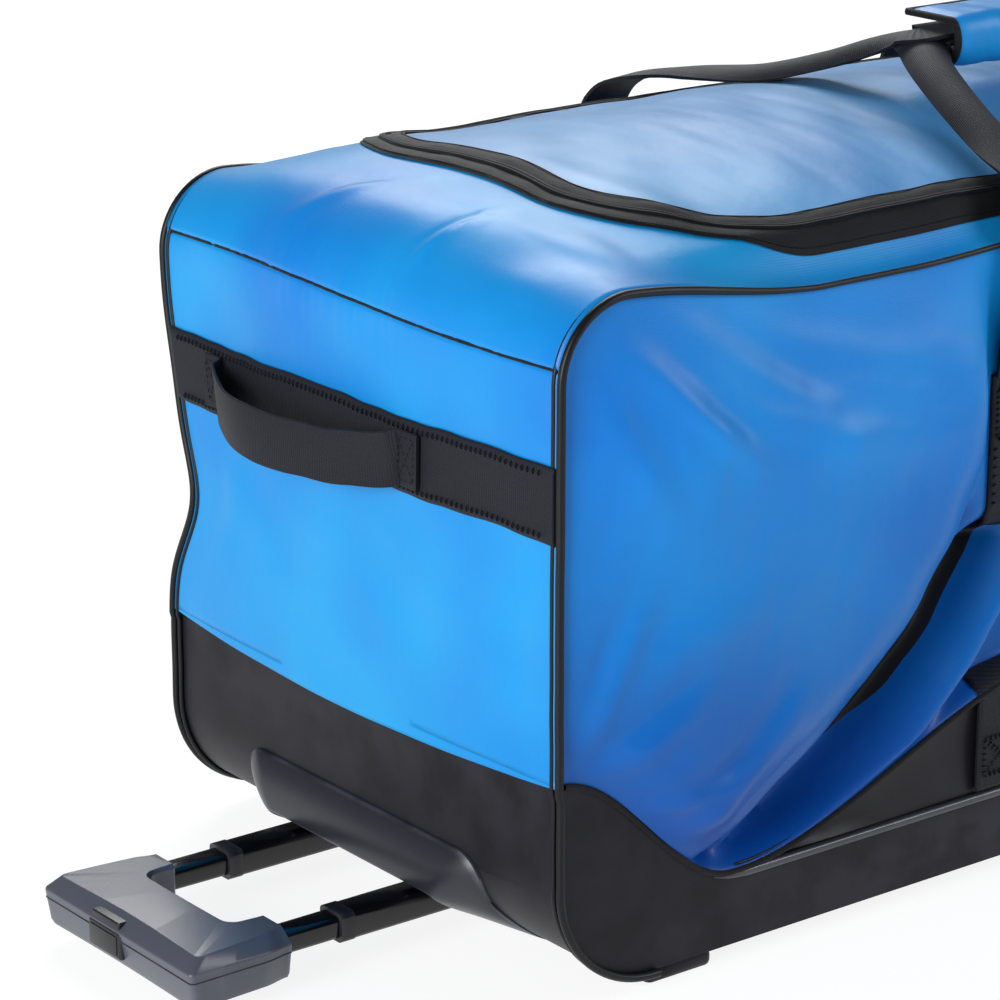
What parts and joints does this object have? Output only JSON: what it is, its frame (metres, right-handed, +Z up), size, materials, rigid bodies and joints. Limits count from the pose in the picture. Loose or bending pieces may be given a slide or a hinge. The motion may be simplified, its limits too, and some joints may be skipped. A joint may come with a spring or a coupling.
{
  "type": "wheeled equipment bag",
  "caption": "Long soft sports equipment bag on a moulded wheeled base, with a zipped lid, webbing carry straps, grab loops and a telescopic pull handle.",
  "frame": {"origin": "middle of the base between the bag's two ends and sides, on the level that the runners rest on", "axes": "+X along the bag towards the wheel end, with the pull handle at -X; +Z up; -Y is the near side"},
  "size_m": [1.2111, 0.4326, 0.519],
  "materials": {
    "blue_fabric": "coated woven fabric with a satin gloss",
    "black_fabric": "matt coated woven fabric",
    "webbing": "flat woven webbing, matt",
    "zip_tape": "knitted tape with a coil zip",
    "moulded_black": "moulded, smooth satin",
    "moulded_grey": "moulded, satin",
    "tube_black": "black anodised tube, satin",
    "steel": "plated",
    "tyre_rubber": "moulded polyurethane tread, matt",
    "board": "pressed sheet"
  },
  "bodies": {
    "bag": {"base_tub": "moulded_black", "near_wheel_housing": "moulded_black", "far_wheel_housing": "moulded_black", "near_runner": "moulded_black", "middle_runner": "moulded_black", "far_runner": "moulded_black", "near_corner_foot": "moulded_black", "far_corner_foot": "moulded_black", "tube_end_bracket": "moulded_black", "near_axle": "steel", "far_axle": "steel", "handle_bezel": "moulded_grey", "near_outer_tube": "tube_black", "far_outer_tube": "tube_black", "near_side_panel": "blue_fabric", "far_side_panel": "blue_fabric", "handle_end_panel": "blue_fabric", "handle_end_brow": "blue_fabric", "wheel_end_panel": "blue_fabric", "wheel_end_brow": "blue_fabric", "near_top_rail": "blue_fabric", "far_top_rail": "blue_fabric", "near_skirt": "black_fabric", "far_skirt": "black_fabric", "near_piping": "black_fabric", "far_piping": "black_fabric", "near_front_web": "webbing", "near_rear_web": "webbing", "far_front_web": "webbing", "far_rear_web": "webbing", "handle_end_band": "webbing", "wheel_end_band": "webbing", "handle_end_grab_loop": "webbing", "wheel_end_grab_loop": "webbing", "zip_tape_fixed": "zip_tape", "floor_board": "board"},
    "handle_lower": {"near_mid_tube": "tube_black", "far_mid_tube": "tube_black", "near_tube_collar": "moulded_black", "far_tube_collar": "moulded_black"},
    "handle_upper": {"near_inner_tube": "tube_black", "far_inner_tube": "tube_black", "grip_lower_shell": "moulded_grey", "grip_upper_shell": "moulded_grey"},
    "button": {"release_button": "moulded_black"},
    "near_wheel": {"near_tyre": "tyre_rubber", "near_wheel_hub": "moulded_grey"},
    "far_wheel": {"far_tyre": "tyre_rubber", "far_wheel_hub": "moulded_grey"},
    "lid": {"lid_panel": "blue_fabric", "zip_tape_lid": "zip_tape"},
    "near_carry_strap": {"near_strap": "webbing", "strap_wrap": "blue_fabric"},
    "far_carry_strap": {"far_strap": "webbing"},
    "front_slider": {"front_zip_slider": "steel"},
    "rear_slider": {"rear_zip_slider": "steel"},
    "front_puller": {"front_zip_puller": "webbing"},
    "rear_puller": {"rear_zip_puller": "webbing"}
  },
  "joints": [
    {"name": "handle_lower_slide", "type": "slide", "parent": "bag", "child": "handle_lower", "axis": [-1, 0, 0], "range_m": [-0.042, 0.22]},
    {"name": "handle_upper_slide", "type": "slide", "parent": "handle_lower", "child": "handle_upper", "axis": [-1, 0, 0], "range_m": [-0.04, 0.22]},
    {"name": "release_button_press", "type": "slide", "parent": "handle_upper", "child": "button", "axis": [-1, 0, 0], "range_m": [0, 0.004], "stiffness_N_per_m": 400},
    {"name": "near_wheel_spin", "type": "hinge", "parent": "bag", "child": "near_wheel", "pos_m": [0.445, -0.175, 0.046], "axis": [0, 1, 0], "continuous": true},
    {"name": "far_wheel_spin", "type": "hinge", "parent": "bag", "child": "far_wheel", "pos_m": [0.445, 0.175, 0.046], "axis": [0, 1, 0], "continuous": true},
    {"name": "lid_hinge", "type": "hinge", "parent": "bag", "child": "lid", "pos_m": [0.4, 0, 0.47], "axis": [0, 1, 0], "range_deg": [0, 42]},
    {"name": "near_strap_swing", "type": "hinge", "parent": "bag", "child": "near_carry_strap", "pos_m": [0, -0.2075, 0.33], "axis": [1, 0, 0], "range_deg": [0, 168]},
    {"name": "far_strap_swing", "type": "hinge", "parent": "bag", "child": "far_carry_strap", "pos_m": [0, 0.2075, 0.33], "axis": [-1, 0, 0], "range_deg": [0, 168]},
    {"name": "front_zip_slide", "type": "slide", "parent": "bag", "child": "front_slider", "axis": [-1, 0, 0], "range_m": [0, 0.54]},
    {"name": "rear_zip_slide", "type": "slide", "parent": "bag", "child": "rear_slider", "axis": [1, 0, 0], "range_m": [0, 0.06]},
    {"name": "front_puller_flip", "type": "hinge", "parent": "front_slider", "child": "front_puller", "pos_m": [0.2599, -0.18011, 0.44029], "axis": [0, 0.9465, 0.3228], "range_deg": [0, 90]},
    {"name": "rear_puller_flip", "type": "hinge", "parent": "rear_slider", "child": "rear_puller", "pos_m": [0.3001, -0.18011, 0.44029], "axis": [0, -0.9465, -0.3228], "range_deg": [0, 90]}
  ],
  "couplings": [
    {"joint": "near_strap_swing", "follows": "lid_hinge", "ratio": 4},
    {"joint": "far_strap_swing", "follows": "lid_hinge", "ratio": 4}
  ]
}
